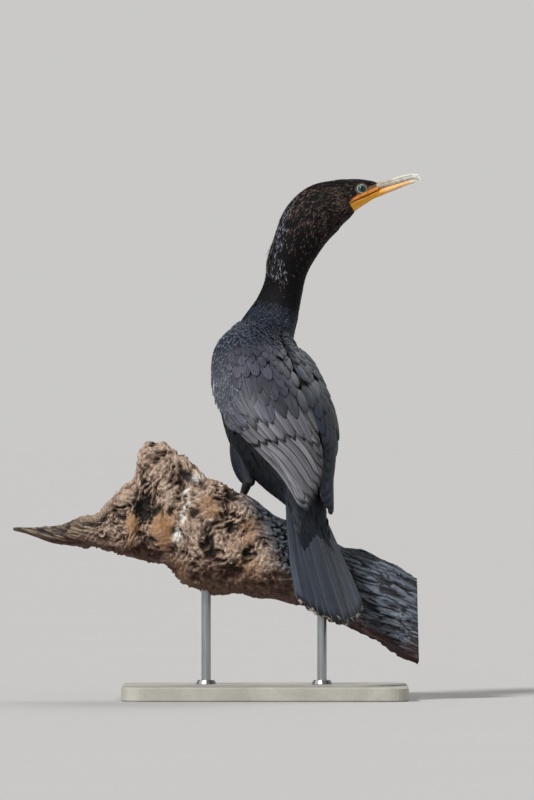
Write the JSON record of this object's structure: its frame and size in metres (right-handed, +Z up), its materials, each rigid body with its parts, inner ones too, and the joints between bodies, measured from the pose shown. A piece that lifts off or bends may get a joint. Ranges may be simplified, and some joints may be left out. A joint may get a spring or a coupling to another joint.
{
  "type": "perched cormorant model",
  "caption": "Life-size cormorant standing with its back turned and head over its shoulder, on a weathered snag held by a plain display stand.",
  "frame": {"origin": "middle of the underside of the stand's base", "axes": "+Z up, +X to the right as the bird is seen from behind, towards its bill, +Y away from the viewer"},
  "size_m": [0.4311, 0.2512, 0.5535],
  "materials": {
    "plumage": "dense short feathers, brown-black to blue-black, satin",
    "wing_feathers": "overlapping grey-brown feathers with dark edges, satin",
    "tail_feathers": "stiff slate feathers with worn pale tips, satin",
    "facial_skin": "bare orange-yellow skin, finely wrinkled",
    "horn_bill": "horn, pale grey and mottled, satin",
    "horn_lower_bill": "horn, cream to orange-yellow, satin",
    "eye_glass": "polished, emerald green with a black pupil",
    "leg_skin": "black scaly skin, low gloss",
    "weathered_wood": "dry and weathered, rough, with cracks and curled grain",
    "stand_board": "warm light grey, matt",
    "stand_steel": "brushed"
  },
  "bodies": {
    "root": {"torso": "plumage", "neck_lower": "plumage", "neck_upper": "plumage", "head": "plumage", "thigh_left": "plumage", "thigh_right": "plumage", "wing_left": "wing_feathers", "wing_right": "wing_feathers", "tail": "tail_feathers", "gular_pouch": "facial_skin", "upper_bill": "horn_bill", "lower_bill": "horn_lower_bill", "eye_left": "eye_glass", "eye_right": "eye_glass", "leg_left": "leg_skin", "leg_right": "leg_skin", "foot_left": "leg_skin", "foot_right": "leg_skin", "perch": "weathered_wood", "stand_base": "stand_board", "stand_rod_left": "stand_steel", "stand_rod_right": "stand_steel"}
  },
  "joints": []
}
